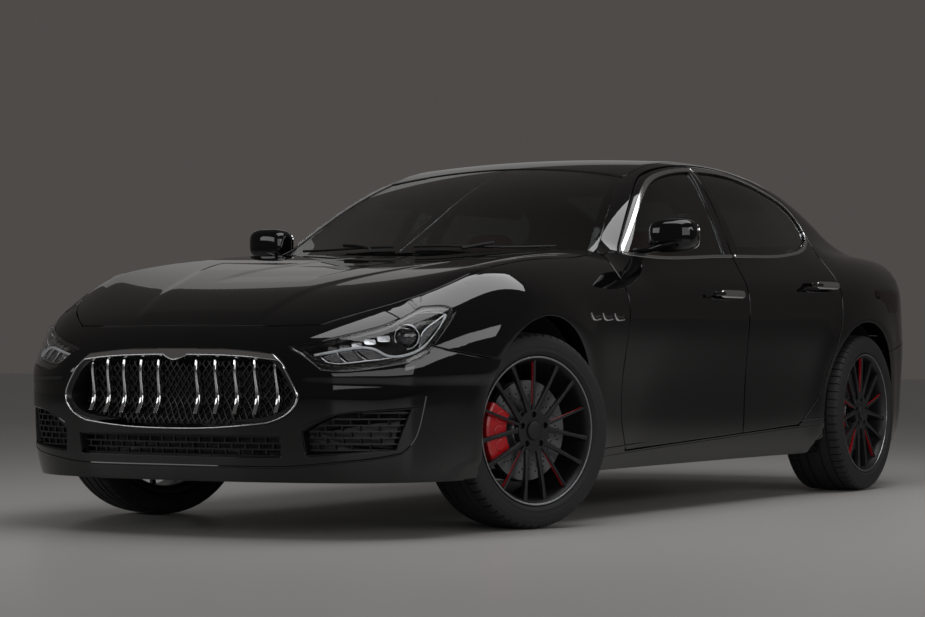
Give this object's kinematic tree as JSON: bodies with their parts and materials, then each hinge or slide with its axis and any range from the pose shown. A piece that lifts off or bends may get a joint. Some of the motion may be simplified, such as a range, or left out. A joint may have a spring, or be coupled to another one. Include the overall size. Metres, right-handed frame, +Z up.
{
  "type": "four-door saloon car",
  "caption": "Four-door fastback saloon car with opening doors, hood and boot lid, steered front wheels and four turning wheels.",
  "frame": {"origin": "on the floor, under the middle of the car's bounding box", "axes": "+X forward along the car, +Y to the car's left, +Z up"},
  "size_m": [4.9703, 2.1032, 1.4632],
  "materials": {
    "paint": "gloss",
    "tinted_glass": "gloss",
    "lamp_clear": "gloss",
    "lamp_red": "gloss",
    "chrome": "polished",
    "black_plastic": "matte",
    "structure": "satin",
    "engine_metal": "cast",
    "steel": "brushed",
    "red_leather": "satin",
    "black_leather": "satin",
    "tyre": "matte",
    "dark_alloy": "satin",
    "red_caliper": "gloss"
  },
  "bodies": {
    "body": {"front_wings": "paint", "front_bumper": "paint", "rear_bumper": "paint", "side_frames": "paint", "sills_pillars": "paint", "roof_panel": "paint", "windscreen": "tinted_glass", "rear_screen": "tinted_glass", "headlamps": "lamp_clear", "tail_lamps": "lamp_red", "grille": "chrome", "lower_grilles": "black_plastic", "dashboard": "black_plastic", "floor_pan": "structure", "front_structure": "structure", "rear_structure": "structure", "front_axle": "structure", "rear_axle": "structure", "rear_knuckles": "structure", "engine_block": "engine_metal", "exhaust": "steel", "front_seats": "red_leather", "rear_bench": "red_leather", "steering_wheel": "black_leather", "rear_calipers": "red_caliper"},
    "hood": {"hood": "paint"},
    "boot_lid": {"boot_lid": "paint"},
    "door_front_left": {"door_front_left": "paint", "glass_front_left": "tinted_glass", "mirror_left": "paint"},
    "door_front_right": {"door_front_right": "paint", "glass_front_right": "tinted_glass", "mirror_right": "paint"},
    "door_rear_left": {"door_rear_left": "paint", "glass_rear_left": "tinted_glass"},
    "door_rear_right": {"door_rear_right": "paint", "glass_rear_right": "tinted_glass"},
    "knuckle_left": {"knuckle_left": "structure", "caliper_left": "red_caliper"},
    "knuckle_right": {"knuckle_right": "structure", "caliper_right": "red_caliper"},
    "wheel_front_left": {"tyre_front_left": "tyre", "rim_front_left": "dark_alloy", "disc_front_left": "steel"},
    "wheel_front_right": {"tyre_front_right": "tyre", "rim_front_right": "dark_alloy", "disc_front_right": "steel"},
    "wheel_rear_left": {"tyre_rear_left": "tyre", "rim_rear_left": "dark_alloy", "disc_rear_left": "steel"},
    "wheel_rear_right": {"tyre_rear_right": "tyre", "rim_rear_right": "dark_alloy", "disc_rear_right": "steel"}
  },
  "joints": [
    {"name": "hood_hinge", "type": "hinge", "parent": "body", "child": "hood", "pos_m": [0.785, 0, 1.03], "axis": [0, -1, 0], "range_deg": [0, 55]},
    {"name": "boot_lid_hinge", "type": "hinge", "parent": "body", "child": "boot_lid", "pos_m": [-2.085, 0, 1.108], "axis": [0, 1, 0], "range_deg": [0, 75]},
    {"name": "door_front_left_hinge", "type": "hinge", "parent": "body", "child": "door_front_left", "pos_m": [0.762, 0.925, 0.65], "axis": [0, 0, -1], "range_deg": [0, 68]},
    {"name": "door_front_right_hinge", "type": "hinge", "parent": "body", "child": "door_front_right", "pos_m": [0.762, -0.925, 0.65], "axis": [0, 0, 1], "range_deg": [0, 68]},
    {"name": "door_rear_left_hinge", "type": "hinge", "parent": "body", "child": "door_rear_left", "pos_m": [-0.336, 0.935, 0.7], "axis": [0, 0, -1], "range_deg": [0, 65]},
    {"name": "door_rear_right_hinge", "type": "hinge", "parent": "body", "child": "door_rear_right", "pos_m": [-0.336, -0.935, 0.7], "axis": [0, 0, 1], "range_deg": [0, 65]},
    {"name": "steer_left", "type": "hinge", "parent": "body", "child": "knuckle_left", "pos_m": [1.4855, 0.802, 0.353], "axis": [0, 0, 1], "range_deg": [-12.9, 57.1]},
    {"name": "steer_right", "type": "hinge", "parent": "body", "child": "knuckle_right", "pos_m": [1.4855, -0.802, 0.353], "axis": [0, 0, 1], "range_deg": [-12.9, 57.1]},
    {"name": "spin_front_left", "type": "hinge", "parent": "knuckle_left", "child": "wheel_front_left", "pos_m": [1.49056, 0.81665, 0.353], "axis": [0.3267, 0.9451, 0], "continuous": true},
    {"name": "spin_front_right", "type": "hinge", "parent": "knuckle_right", "child": "wheel_front_right", "pos_m": [1.47943, -0.81626, 0.353], "axis": [0.3919, 0.92, 0], "continuous": true},
    {"name": "spin_rear_left", "type": "hinge", "parent": "body", "child": "wheel_rear_left", "pos_m": [-1.5125, 0.8265, 0.353], "axis": [0, 1, 0], "continuous": true},
    {"name": "spin_rear_right", "type": "hinge", "parent": "body", "child": "wheel_rear_right", "pos_m": [-1.5125, -0.8265, 0.353], "axis": [0, 1, 0], "continuous": true}
  ],
  "couplings": [
    {"joint": "steer_right", "follows": "steer_left", "ratio": 1}
  ]
}
